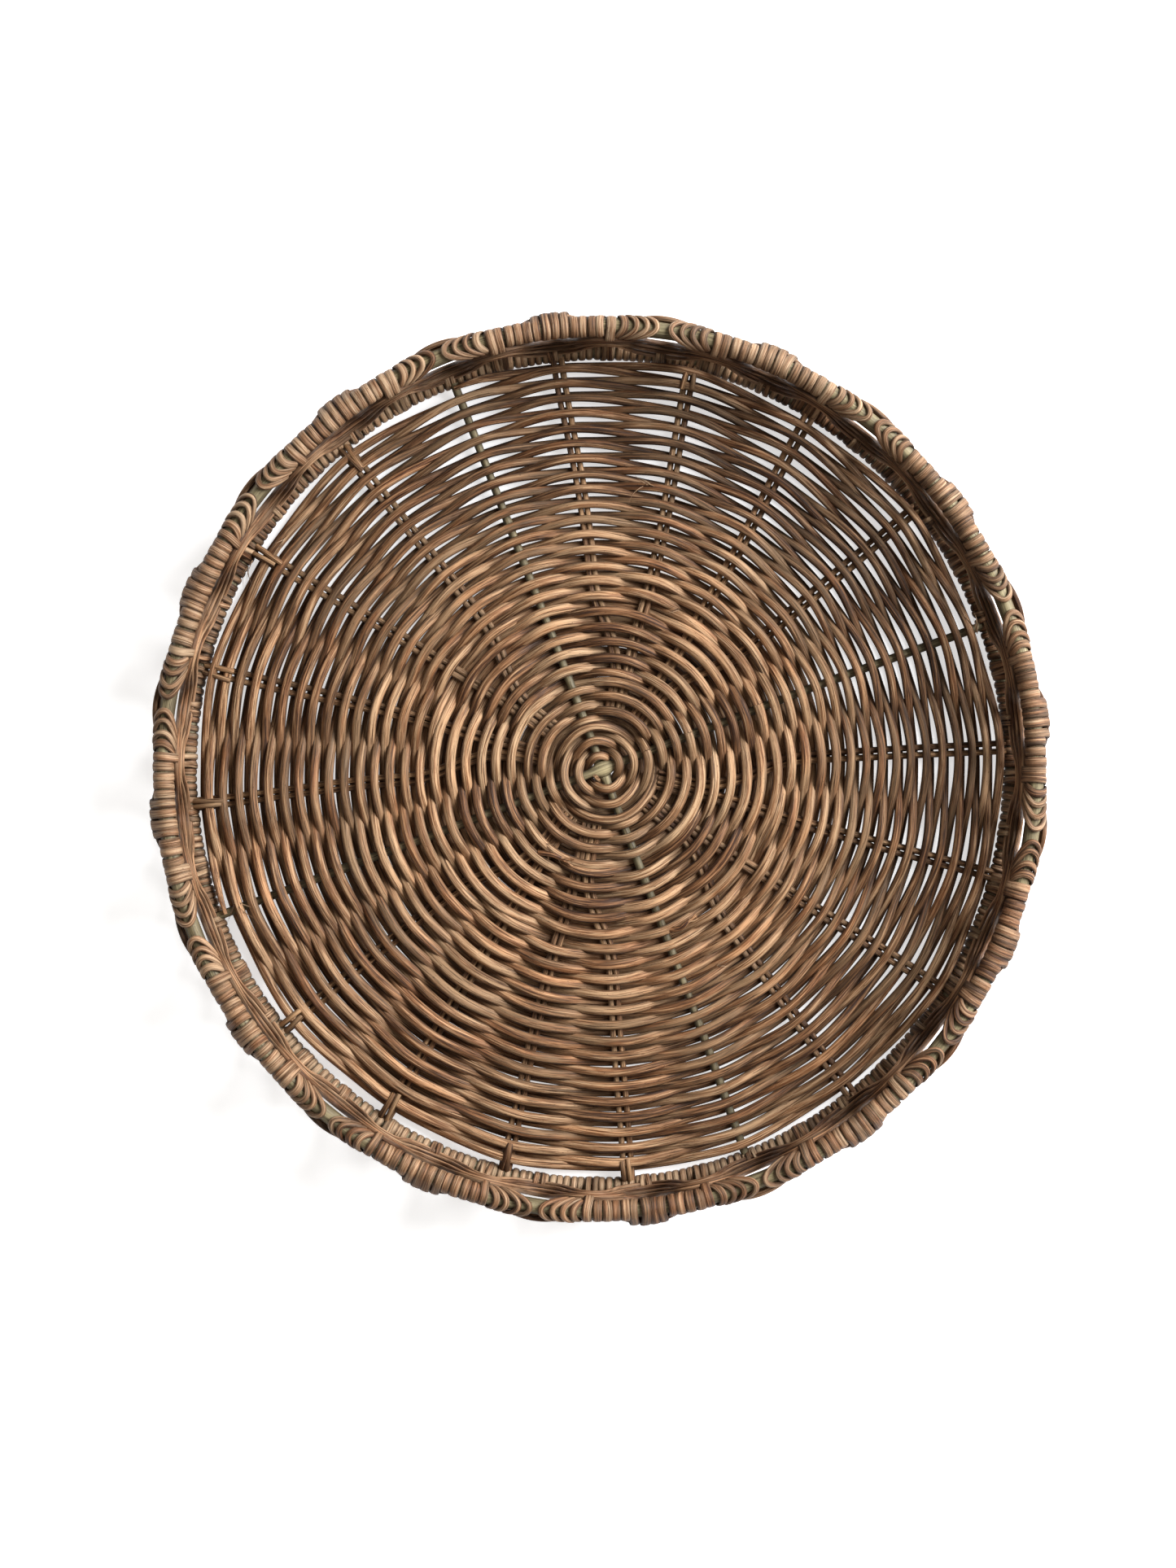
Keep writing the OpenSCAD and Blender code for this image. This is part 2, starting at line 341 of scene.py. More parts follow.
class Nodes:
    """Shorthand for building a shader."""

    def __init__(self, material):
        material.use_nodes = True
        self.tree = material.node_tree
        self.tree.nodes.clear()

    def add(self, kind, **settings):
        node = self.tree.nodes.new(kind)
        for key, value in settings.items():
            setattr(node, key, value)
        return node

    def put(self, socket, value):
        """Sets a socket to a value, or joins it to another socket."""
        if isinstance(value, bpy.types.NodeSocket):
            self.tree.links.new(value, socket)
        else:
            socket.default_value = value

    def attribute(self, name):
        return self.add("ShaderNodeAttribute", attribute_name=name, attribute_type="GEOMETRY")

    def math(self, operation, a, b=0.0, clamp=False):
        node = self.add("ShaderNodeMath", operation=operation, use_clamp=clamp)
        self.put(node.inputs[0], a)
        self.put(node.inputs[1], b)
        return node.outputs[0]

    def mix(self, factor, a, b, blend="MIX"):
        node = self.add("ShaderNodeMix", data_type="RGBA", blend_type=blend)
        self.put(node.inputs[0], factor)
        self.put(node.inputs[6], a)
        self.put(node.inputs[7], b)
        return node.outputs[2]

    def noise(self, vector, scale, detail=3.0, rough=0.55):
        """Noise stretched by a scale for each axis of the grain."""
        stretch = self.add("ShaderNodeVectorMath", operation="MULTIPLY")
        self.put(stretch.inputs[0], vector)
        self.put(stretch.inputs[1], scale)
        node = self.add("ShaderNodeTexNoise")
        self.put(node.inputs["Vector"], stretch.outputs[0])
        self.put(node.inputs["Scale"], 1.0)
        self.put(node.inputs["Detail"], detail)
        self.put(node.inputs["Roughness"], rough)
        return node.outputs["Fac"]

    def remap(self, value, low, high, to_low=0.0, to_high=1.0):
        """A value between low and high, eased to run between two others."""
        node = self.add("ShaderNodeMapRange", interpolation_type="SMOOTHSTEP")
        self.put(node.inputs["Value"], value)
        self.put(node.inputs["From Min"], low)
        self.put(node.inputs["From Max"], high)
        self.put(node.inputs["To Min"], to_low)
        self.put(node.inputs["To Max"], to_high)
        return node.outputs["Result"]


def srgb(r, g, b):
    """A display colour, 0 to 255, as a linear one."""
    values = [c / 255 for c in (r, g, b)]
    return tuple(c / 12.92 if c <= 0.04045 else ((c + 0.055) / 1.055) ** 2.4 for c in values) + (1.0,)


def fibre_material(name, look):
    """Cane or peel: fibres along its length, patches, specks, a different tone for each length."""
    material = bpy.data.materials.new(name)
    n = Nodes(material)
    grain = n.attribute("grain").outputs["Vector"]
    tone = n.add("ShaderNodeSeparateXYZ")
    n.put(tone.inputs[0], n.attribute("tone").outputs["Vector"])
    bright, red, grey = tone.outputs
    shade = n.attribute("shade").outputs["Fac"]

    wide, thin = look["streaks"]
    broad = n.noise(grain, (wide, wide, 0.03), 3.0)
    fine = n.noise(grain, (thin, thin, 0.07), 3.0, 0.6)
    patch = n.noise(grain, (0.22, 0.22, 0.03), 2.0)
    speck = n.noise(grain, (2.2, 2.2, 0.55), 2.0)
    crack = n.noise(grain, (thin * 1.3, thin * 1.3, 0.05), 2.0)

    level = n.math("ADD", n.math("MULTIPLY", broad, 0.75), n.math("MULTIPLY", fine, 0.65))
    level = n.math("ADD", level, n.math("MULTIPLY", bright, look["spread"]))
    level = n.math("SUBTRACT", level, 0.7 + look["spread"] / 2 - look["lift"])
    level = n.math("ADD", n.math("MULTIPLY", level, look["contrast"]), 0.5, clamp=True)

    lower = n.mix(n.remap(level, 0.0, 0.55), look["dark"], look["mid"])
    colour = n.mix(n.remap(level, 0.45, 1.0), lower, look["light"])
    reddened = n.math("MULTIPLY", red, n.remap(patch, 0.35, 0.62, 0.25, 1.0), clamp=True)
    colour = n.mix(reddened, colour, n.mix(1.0, colour, look["red"], "MULTIPLY"))
    greyed = n.math("MULTIPLY", grey, n.remap(patch, 0.65, 0.4, 0.2, 1.0), clamp=True)
    colour = n.mix(n.math("MULTIPLY", greyed, 0.75), colour, look["grey"])
    colour = n.mix(n.remap(speck, 0.655, 0.72, 0.0, look["specks"]), colour, look["speck"])
    colour = n.mix(n.remap(crack, 0.41, 0.33, 0.0, 0.8), colour, look["speck"])
    # Painted shade: where the shade attribute falls below 1, the colour is darkened towards the shade
    # tint.
    painted_shade_tint = n.mix(n.math("SUBTRACT", 1.0, shade, clamp=True), (1, 1, 1, 1), look["painted_shade_tint"])
    colour = n.mix(1.0, colour, painted_shade_tint, "MULTIPLY")

    height = n.math("ADD", n.math("MULTIPLY", fine, 0.6), n.math("MULTIPLY", broad, 0.7))
    height = n.math("SUBTRACT", height, n.remap(crack, 0.42, 0.34, 0.0, 0.6))
    bump = n.add("ShaderNodeBump")
    n.put(bump.inputs["Height"], height)
    n.put(bump.inputs["Strength"], look["bump"])
    n.put(bump.inputs["Distance"], RELIEF)

    rough = n.remap(fine, 0.25, 0.75, look["rough"] - 0.1, look["rough"] + 0.14)
    shader = n.add("ShaderNodeBsdfPrincipled")
    n.put(shader.inputs["Base Color"], colour)
    n.put(shader.inputs["Roughness"], rough)
    n.put(shader.inputs["Specular IOR Level"], look["gloss"])
    n.put(shader.inputs["Normal"], bump.outputs["Normal"])
    output = n.add("ShaderNodeOutputMaterial")
    n.put(output.inputs["Surface"], shader.outputs["BSDF"])
    return material


# A look: the cane's colours from its hollows to its polished ridges, the tints of its patches,
# how wide its two sizes of fibre are (per millimetre), and how strong each effect is.
WEAVER_LOOK = {
    "dark": srgb(58, 34, 20),
    "mid": srgb(140, 100, 67),
    "light": srgb(204, 169, 132),
    "red": (0.98, 0.8, 0.68, 1.0),
    "grey": srgb(150, 122, 92),
    "speck": srgb(66, 38, 22),
    # Dark brown that painted shade darkens the cane towards.
    "painted_shade_tint": (0.06, 0.035, 0.02, 1.0),
    "streaks": (0.7, 1.9),
    "contrast": 2.9,
    "spread": 0.22,
    "lift": 0.0,
    "specks": 0.8,
    "bump": 1.0,
    "rough": 0.55,
    "gloss": 0.28,
}
SPOKE_LOOK = dict(
    WEAVER_LOOK,
    mid=srgb(116, 82, 55),
    light=srgb(182, 146, 108),
    streaks=(0.8, 2.2),
    specks=0.6,
)
WAVE_LOOK = dict(
    WEAVER_LOOK,
    mid=srgb(124, 86, 58),
    light=srgb(190, 154, 120),
    streaks=(0.9, 2.6),
    spread=0.24,
    bump=0.8,
)
PEEL_LOOK = dict(
    WEAVER_LOOK,
    mid=srgb(136, 98, 68),
    light=srgb(188, 160, 130),
    grey=srgb(158, 134, 106),
    streaks=(0.9, 2.6),
    spread=0.3,
    lift=0.02,
    bump=0.9,
)
POLE_LOOK = dict(
    WEAVER_LOOK,
    dark=srgb(44, 36, 24),
    mid=srgb(110, 98, 72),
    light=srgb(180, 166, 128),
    red=(1.0, 0.8, 0.62, 1.0),
    grey=srgb(128, 122, 98),
    speck=srgb(48, 34, 22),
    streaks=(0.35, 1.4),
    contrast=1.3,
    bump=0.35,
    spread=0.4,
    rough=0.5,
)

MATERIALS = {
    "weaver_cane": fibre_material("weaver_cane", WEAVER_LOOK),
    "spoke_cane": fibre_material("spoke_cane", SPOKE_LOOK),
    "wave_cane": fibre_material("wave_cane", WAVE_LOOK),
    "peel": fibre_material("peel", PEEL_LOOK),
    "pole_cane": fibre_material("pole_cane", POLE_LOOK),
}


def finish_piece(piece, slot, nodes=(), floor=None):
    """Makes a piece's object, with the material that has the same name as its slot."""
    piece.build(slot, MATERIALS[slot], nodes, floor)


# ---- Base ----


def split_r(turn, angle):
    """Radius between the last row of one zone and the first of the next."""
    return WEAVE_START + 2 * ROW_PITCH * (turn + (angle % 360) / 360) - ROW_PITCH / 2


def cane_track(quadrant, k, rng):
    """Radius, direction and sideways offset of spoke cane k of a quadrant, from the hub out.

    The eight canes leave the hub as one fan, two fours side by side. The fours part further out,
    and then split into pairs."""
    middle = 45 + 90 * quadrant
    side = -1 if k < 4 else 1
    four = middle + side * 12.5
    spread = middle + side * (25 if k < 2 or k > 5 else 9.5)
    group = 5 * quadrant + 1 + k // 2
    pair = 18.0 * group
    first = split_r(ZONE_TURNS[2], four)
    second = split_r(ZONE_TURNS[3], pair)
    end_r = LOWER_R - POLE_R + 1.5
    r = np.arange(HUB_R, end_r, 2.2)
    knots = [HUB_R, first - 4, first + 4, second - 6, second + 6, end_r]
    direction = np.interp(r, knots, [four, four, four, spread, pair, pair])
    direction += LEAN[group] * step((r - second) / (end_r - second))
    lane = k % 2 - 0.5
    four_lane = (k % 4 - 1.5) * FOUR_PITCH
    tight_lane = 0.93 * four_lane
    pair_lane = PAIR_PITCH * lane
    rim_lane = (RIM_PAIR_PITCH + 0.5 * rng.uniform(-1, 1)) * lane
    lanes = [tight_lane, tight_lane, four_lane, pair_lane, pair_lane, rim_lane]
    offset = np.interp(r, knots, lanes)
    offset = offset + 0.3 * drift(rng, r, 45)
    direction = blurred(direction, 2.6)
    offset = blurred(offset, 2.2)
    return r, direction, offset


def polar_angle(r, direction, offset):
    """Angle at which a track crosses each radius."""
    return direction + np.degrees(np.arcsin(np.clip(offset / r, -1, 1)))


TRACKS = {}
track_rng = np.random.default_rng(11)
for quadrant in range(4):
    for k in range(8):
        TRACKS[quadrant, k] = cane_track(quadrant, k, track_rng)


def group_edges(zone, r):
    """Start angle, end angle and strand radius of each group that a row passes, at each radius."""
    whole = [range(8)]
    fours = [range(4), range(4, 8)]
    pairs = [(0, 1), (2, 3), (4, 5), (6, 7)]
    bundles = ([], whole, fours, pairs)[zone]
    groups = []
    for quadrant in range(4):
        arm = 90 * quadrant + LEAN[5 * quadrant] * step((r - 90) / 125)
        half = np.degrees(STICK_R / r)
        groups.append((arm - half, arm + half, STICK_R))
        for bundle in bundles:
            angles = []
            for k in bundle:
                track = TRACKS[quadrant, k]
                angles.append(np.interp(r, track[0], polar_angle(*track)))
            pad = np.degrees(CANE_R / r)
            groups.append((np.min(angles, axis=0) - pad, np.max(angles, axis=0) + pad, CANE_R))
    return groups


def weave_height(zone, r, angle, over_first):
    """Height of a weaver over the base's middle plane, and how far it is pulled in towards the
    hub where it runs straight from one group to the next."""
    groups = group_edges(zone, r)
    starts = np.stack([g[0] for g in groups] + [groups[0][0] + 360], axis=1)
    ends = np.stack([g[1] for g in groups] + [groups[0][1] + 360], axis=1)
    lifts = np.array([g[2] for g in groups] + [groups[0][2]]) + WEAVER_HALF * PRESSED
    centres = (starts + ends) / 2
    phase = np.where(angle % 360 < centres[:, 0], angle % 360 + 360, angle % 360)
    index = np.clip((centres <= phase[:, None]).sum(axis=1) - 1, 0, len(groups) - 1)
    rows = np.arange(len(r))
    leave = ends[rows, index]
    arrive = starts[rows, index + 1]
    t = np.clip((phase - leave) / np.maximum(arrive - leave, 0.5), 0, 1)
    # Round the hub's four arms a weaver wraps each one closely. Elsewhere it rises and falls evenly.
    hug = 0.62 if zone == 0 else 1.0
    down = 0.5 - 0.5 * np.cos(math.pi * np.clip(t / hug, 0, 1))
    up = 0.5 - 0.5 * np.cos(math.pi * np.clip((t - 1 + hug) / hug, 0, 1))
    sign = np.where(index % 2 == 0, 1.0, -1.0) * (1 if over_first else -1)
    height = sign * (lifts[index] * (1 - down) - lifts[index + 1] * up)
    half = np.radians(centres[rows, index + 1] - centres[rows, index]) / 2
    straight = np.interp(r, *STRAIGHTNESS[zone])
    taut = r * (1 - np.cos(half)) * 4 * t * (1 - t) * straight
    return height, taut


def zone_rows(zone, turns):
    """Which of a weaver's turns lie in a zone of the weave."""
    low = ZONE_TURNS[zone] if zone else -math.inf
    high = ZONE_TURNS[zone + 1] if zone < 3 else math.inf
    return (turns >= low) & (turns < high)


def row_radius(letter, turns):
    """Radius of a weaver after a number of turns, as wound on an even spiral."""
    return WEAVE_START + 2 * ROW_PITCH * turns + (ROW_PITCH if letter == "b" else 0)


def weaver_turns(letter):
    """Turn count at each point of a weaver, with points further apart where it bends less."""
    turns = [START_TURN[letter]]
    while turns[-1] < END_TURN[letter]:
        r = row_radius(letter, turns[-1])
        turns.append(turns[-1] + min(2.2, 0.6 + r * 0.04) / (TAU * r))
    return np.array(turns)


def weaver_radius(rng, nominal, angle, along, depth, taut):
    """The spiral as a hand made it: tucked in where it passes under a group, most of all on the
    open side, a little further out on the right, and packed closer in its last rows."""
    tuck = np.interp(nominal, [10, 60, 110, 165], [0.1, 0.1, 0.2, 0.3])
    tuck += open_side(angle) * np.interp(nominal, [90, 160], [0.0, 1.9])
    uneven = np.interp(nominal, [10, 40, 110], [0.7, 1.8, 1.1])
    # The tables above and below run along the radius, from the hub to the edge.
    radius = nominal - tuck * depth - blurred(taut, 3)
    radius += uneven * (0.28 * drift(rng, along, 70) + 0.2 * drift(rng, along, 23))
    bearing = (ARM_ANGLE + angle + 180 + 22) % 360 - 180
    radius += 2.0 * np.exp(-((bearing / 38) ** 2)) * step((nominal - 150) / 60)
    return np.minimum(radius - 0.08 * np.clip(radius - 200, 0, 99), WEAVE_EDGE)


def open_side(angle):
    """1 at the upper right, where the outer weave is loosest and carries a painted shadow of the wall,
    and 0 opposite it.
    """
    return 0.5 + 0.5 * np.cos(np.radians(ARM_ANGLE + angle - 60))


def weaver_track(letter):
    """Whole path of one weaver, with its turn count, girth and colour at each point."""
    rng = np.random.default_rng(5 if letter == "a" else 6)
    turns = weaver_turns(letter)
    nominal = row_radius(letter, turns)
    angle = 360 * turns
    height = np.zeros(len(turns))
    taut = np.zeros(len(turns))
    for zone in range(4):
        rows = zone_rows(zone, turns)
        height[rows], taut[rows] = weave_height(zone, nominal[rows], angle[rows], letter == "a")
    height = blurred(height, 1.8)
    along = np.concatenate([[0], np.cumsum(np.diff(angle) * nominal[1:] * math.pi / 180)])
    depth = (1 - height / 4.0) / 2
    radius = weaver_radius(rng, nominal, angle, along, depth, taut)
    z = BASE_Z + height + 0.2 * drift(rng, along, 38)
    path = polar(radius, ARM_ANGLE + angle, z)
    loose = open_side(angle)
    width = WEAVER_HALF * (1 + 0.07 * drift(rng, along, 160) + 0.04 * drift(rng, along, 31))
    width *= np.interp(nominal, [5, 9, 60, 120, 165], [0.8, 1.15, 1.25, 1.24, 1.2])
    width *= 1 - loose * np.interp(nominal, [90, 160], [0.0, 0.16])
    pointed = np.linspace(0.5, 1, 8)
    width[: len(pointed)] *= pointed
    roll = 0.45 * drift(rng, along, 60)
    # Towards the edge the cane is brighter and redder, but darker on the upper right, where a painted
    # shadow of the wall falls.
    tone = tones_along(rng, along, 900, 2300)
    tone[:, 0] += np.interp(nominal, [60, 90, 150], [0.05, 0.1, 0.25])
    wall_shadow = 0.25 * loose * step((nominal - 100) / 80)
    tone[:, 0] -= wall_shadow
    tone[:, 1] *= np.interp(nominal, [50, 160], [0.4, 1.8])
    sideways = polar(1.0, ARM_ANGLE + angle, 0.0)
    outward = UP * np.cos(roll)[:, None] + sideways * np.sin(roll)[:, None]
    thick = WEAVER_HALF * (0.9 + 0.05 * drift(rng, along, 90))
    return {
        "outward": outward,
        "turns": turns,
        "path": path,
        "width": width,
        "thick": thick * np.minimum(1, width / WEAVER_HALF),
        "tone": np.clip(tone, 0, 1),
        # Painted shade where the weaver dives under a group, and the painted shadow of the wall.
        "shade": np.clip(1.0 - 0.4 * depth, 0.4, 1.0) * (1 - wall_shadow),
    }


def build_weavers():
    """Both weavers, each cut into one length for each zone of the weave."""
    for letter in "ab":
        track = weaver_track(letter)
        for zone, name in enumerate(ZONE_NAMES):
            rows = np.where(zone_rows(zone, track["turns"]))[0]
            if zone < 3:
                rows = np.append(rows, rows[-1] + 1)
            piece = Piece(name + "_" + letter + "_cane", 100)
            width = track["width"][rows].copy()
            thick = track["thick"][rows].copy()
            if zone == 3:
                taper = np.linspace(1, END_TAPER, 12)
                width[-len(taper):] *= taper
                thick[-len(taper):] *= taper
            piece.strand(
                track["path"][rows],
                track["outward"][rows],
                width,
                thick,
                sides=10,
                tone=track["tone"][rows],
                shade=track["shade"][rows],
            )
            finish_piece(piece, "weaver_cane", [name + "_" + letter])


def build_spokes():
    """The 32 canes between the arms, two to a piece."""
    rng = np.random.default_rng(21)
    for quadrant in range(4):
        for pair in range(4):
            number = 4 * quadrant + pair + 1
            piece = Piece("spoke_canes_%02d" % number, 200 + number)
            for k in (2 * pair, 2 * pair + 1):
                r, direction, offset = TRACKS[quadrant, k]
                angle = polar_angle(r, direction, offset)
                z = BASE_Z + 0.25 * drift(rng, r, 30) + 0.5 * (k % 2 - 0.5) * np.exp((26 - r) / 12)
                path = polar(r, ARM_ANGLE + angle, z)
                girth = CANE_R * (1.08 + 0.05 * drift(rng, r, 60))
                girth = girth * np.interp(r, [HUB_R, HUB_R + 6], [0.75, 1.0])
                tone = tone_of(rng, 0.3, 0.6)
                piece.strand(path, UP, girth, girth, sides=10, tone=tone, power=2.0)
            finish_piece(piece, "spoke_cane", ["spoke_pair_%02d" % number])


def build_sticks():
    """The two cross sticks, bent over and under each other at the hub."""
    rng = np.random.default_rng(31)
    for name, first, side in (("a", 0, 1), ("b", 1, -1)):
        piece = Piece("cross_stick_" + name + "_cane", 300 + first)
        x = np.arange(-LOWER_R + POLE_R - 1.5, LOWER_R - POLE_R + 1.5, 2.0)
        group = np.where(x > 0, 5 * first, 5 * first + 10)
        lean = np.array(LEAN)[group] * step((np.abs(x) - 90) / 125)
        z = BASE_Z + side * 1.1 * np.exp(-((x / 5.5) ** 2)) + 0.3 * drift(rng, x + 300, 50)
        sway = 0.5 * drift(rng, x + 300, 70)
        angle = np.radians(ARM_ANGLE + 90 * first + lean)
        east = x * np.cos(angle) - sway * np.sin(angle)
        north = x * np.sin(angle) + sway * np.cos(angle)
        path = np.stack([east, north, z], axis=1)
        girth = STICK_R * (1 + 0.05 * drift(rng, x + 300, 25))
        # Knots of the cane along the stick, and a flat pale lump where the sticks cross.
        for knot in (-148, -61, 52, 137):
            girth = girth + 0.35 * np.exp(-(((x - knot) / 3.0) ** 2))
        wide = girth + 2.5 * np.exp(-((x / 4.5) ** 2))
        pale = 0.35 + 0.65 * np.exp(-((x / 9.0) ** 2))
        tone = np.stack([pale, 0 * x + 0.05, 0 * x + 0.4], axis=1)
        piece.strand(path, UP, wide, girth, sides=12, tone=tone, power=2.0)
        finish_piece(piece, "pole_cane", ["cross_stick_" + name])


# ---- Hoops ----


def build_pole(name, node, radius, z, seed):
    """A pole bent into a hoop, with a knot every so often."""
    rng = np.random.default_rng(seed)
    piece = Piece(name, seed)
    count = int(TAU * radius / 2.4)
    angle = np.arange(count) * 360.0 / count
    closing = np.minimum(1, np.minimum(angle, 360 - angle) / 20)
    girth = POLE_R * (1 + 0.05 * closing * drift(rng, angle, 6.0))
    for knot in (33, 97, 154, 221, 287, 341):
        girth = girth + 0.35 * np.exp(-(((angle - knot) / 0.8) ** 2))
    path = polar(radius, angle, z)
    piece.strand(path, UP, girth, girth, sides=16, closed=True, tone=tone_of(rng, 0.15, 0.5), power=2.0)
    finish_piece(piece, "pole_cane", [node])


def build_lower_wrap():
    """One strip of peel wound edge to edge round the lower hoop."""
    rng = np.random.default_rng(41)
    piece = Piece("lower_hoop_peel", 41)
    per_turn = 14
    count = LOWER_TURNS * per_turn
    along = np.arange(count) / per_turn
    psi = TAU * along
    slant = 0.22 * np.sin(psi + 0.6)
    wander = 0.22 * 360 / LOWER_TURNS * blurred(rng.uniform(-1, 1, count), 6) * 3
    angle = 360 * (along + slant * 0.5) / LOWER_TURNS + wander
    # Each turn stands a little prouder or lower than the next.
    lump = blurred(rng.uniform(-1, 1, count), per_turn / 3) * 1.6
    rho = POLE_R + 0.35 + 0.3 * lump
    path = polar(LOWER_R + rho * np.cos(psi), angle, LOWER_Z + rho * np.sin(psi))
    outward = path - polar(LOWER_R, angle, LOWER_Z)
    width = 1.86 * (1 + 0.1 * blurred(rng.uniform(-1, 1, count), 8) * 3)
    tones = tones_along(rng, along * 29.0, 700, 2500)
    flicker = np.repeat(rng.uniform(-0.22, 0.22, LOWER_TURNS), per_turn)
    tones[:, 0] = np.clip(tones[:, 0] + flicker, 0, 1)
    # Painted shade: each turn is lighter over the top of the hoop and darker underneath.
    shade = np.clip(0.72 + 0.28 * np.sin(psi), 0.45, 1)
    piece.strand(path, outward, width, 0.9, closed=True, tone=tones, shade=shade, power=2.0)
    finish_piece(piece, "peel", ["lower_hoop_wrap"], floor=0.02)


# ---- Wave bands ----


def bend_angle():
    """Angle at which the bends of a wave run smoothly into its straight stretches."""
    angle = 1.2
    for _ in range(40):
        rise = CREST_Z - TROUGH_Z - 2 * BEND_R * (1 - math.cos(angle))
        angle = math.atan2(rise, HALF_WAVE - 2 * BEND_R * math.sin(angle))
    return angle


def one_wave(d):
    """Distance along the wall and height of one wave, for a cane d off the band's middle line."""
    most = bend_angle()
    a = np.linspace(-most, most, 17)
    over = BEND_R + d
    under = BEND_R - d
    crest = np.stack([over * np.sin(a), CREST_Z - BEND_R + over * np.cos(a)], axis=1)
    trough = np.stack([HALF_WAVE + under * np.sin(a), TROUGH_Z + BEND_R - under * np.cos(a)], axis=1)
    last = crest[0] + [2 * HALF_WAVE, 0]
    down = crest[-1] + (trough[0] - crest[-1]) * np.array([[0.25], [0.5], [0.75]])
    up = trough[-1] + (last - trough[-1]) * np.array([[0.25], [0.5], [0.75]])
    return np.concatenate([crest, down, trough, up])


def band_lane(i):
    """Offset of cane i, 1 to 4, from the band's middle line."""
    return (i - 2.5) * WAVE_PITCH


def wave_place(side, i, height):
    """Radius and height of cane i of a band where its wave is at a height.

    The inner band lies almost flat across the top of the lower hoop at its foot, and stands on
    edge inside the upper hoop at its crests. The outer band stands on edge all the way."""
    lane = band_lane(i)
    up = np.clip((height - lane - TROUGH_Z) / (CREST_Z - TROUGH_Z), 0, 1)
    down = 1 - up
    if side < 0:
        lean = 0.15 + 0.42 * down
        radius = LOWER_R + 1.5 - 5.3 * up + lean * lane
        return radius, height - (1 - np.sqrt(1 - lean**2)) * lane - 2.5 * down**3
    return LOWER_R + 3.6 + 5.4 * up + 0.12 * lane, height


def build_wave_cane(side, i):
    """One cane of a wave band, all the way round. side is -1 for the inner band, 1 for the outer."""
    label = "inner" if side < 0 else "outer"
    rng = np.random.default_rng(500 + 10 * side + i)
    piece = Piece("%s_wave_strand_%d" % (label, i), 500 + 10 * side + i)
    # The inner band is half a wave out of step with the outer one.
    first = FIRST_LASHING + (WAVE_STEP / 2 if side < 0 else 0)
    wave = one_wave(band_lane(i))
    flat = np.concatenate([wave + [2 * HALF_WAVE * w, 0] for w in range(WAVES)])
    radius, height = wave_place(side, i, flat[:, 1])
    angle = first + flat[:, 0] / (2 * HALF_WAVE) * WAVE_STEP
    path = polar(radius, angle, height)
    path = np.concatenate([path, path[:1]])
    path = resampled(path, 2.3)[:-1]
    s = run_length(path)
    fade = np.clip(np.minimum(s, s[-1] - s) / 30, 0, 1)
    radial = unit(path * [1, 1, 0])
    path = path + radial * (0.3 * fade * drift(rng, s, 26))[:, None]
    path[:, 2] += 0.3 * fade * drift(rng, s, 31)
    girth = 1 + 0.07 * fade * drift(rng, s, 40)
    # Painted shade: the canes are darker lower down the wall.
    height = np.clip((path[:, 2] - TROUGH_Z) / (CREST_Z - TROUGH_Z), 0, 1)
    tones = tones_along(rng, s, 400, 1100)
    piece.strand(
        path,
        radial * side,
        1.42 * girth,
        1.3 * girth,
        closed=True,
        tone=tones,
        shade=0.8 + 0.2 * height,
        power=2.4,
    )
    finish_piece(piece, "wave_cane", ["%s_wave_cane_%d" % (label, i)])


# ---- Bindings ----


def cane_sections(side, x, canes, reach=1.5):
    """Section points of a band's canes at a distance x from the middle of its nearest crest."""
    points = []
    for i in canes:
        wave = one_wave(band_lane(i))
        low = wave[:, 0] <= HALF_WAVE
        height = np.interp(abs(x), np.maximum.accumulate(wave[low, 0]), wave[low, 1])
        r, height = wave_place(side, i, height)
        for turn in np.arange(8) * TAU / 8:
            points.append([r + reach * math.cos(turn), height + reach * math.sin(turn)])
    return points


def hull_radius(points, centre, phi):
    """Distance from centre to the outline of the hull of some points, in the directions phi."""
    psi = np.linspace(0, TAU, 120, endpoint=False)
    spokes = np.stack([np.cos(psi), np.sin(psi)], axis=1)
    support = ((np.asarray(points) - centre) @ spokes.T).max(axis=0)
    facing = np.cos(phi[:, None] - psi[None, :])
    facing = np.where(facing > 0.05, facing, np.nan)
    return np.nanmin(support[None, :] / facing, axis=1)


def circle_points(centre, radius):
    """Points on a hoop's section."""
    turn = np.arange(24) * TAU / 24
    return [[centre[0] + radius * math.cos(t), centre[1] + radius * math.sin(t)] for t in turn]


def lashing_feet(rng):
    """Where each wrap of a lashing stands along the hoop, and how far its top bows outward.

    The four wraps at each end are bowed into the open loops, and those between are straight."""
    bows = np.array([7.6, 6.9, 5.4, 2.8])
    tips = 55.4 - 5.7 * np.arange(4)
    feet = tips - bows
    straight = np.linspace(-feet[-1] + 4.4, feet[-1] - 4.3, STRAIGHT_WRAPS)
    places = np.concatenate([-feet, straight, feet[::-1]])
    unbowed = rng.uniform(-0.6, 0.6, STRAIGHT_WRAPS)
    bends = np.concatenate([-bows, unbowed, bows[::-1]])
    places = places + rng.uniform(-0.4, 0.4, len(places))
    bends = bends + rng.uniform(-0.5, 0.5, len(bends))
    return places, bends


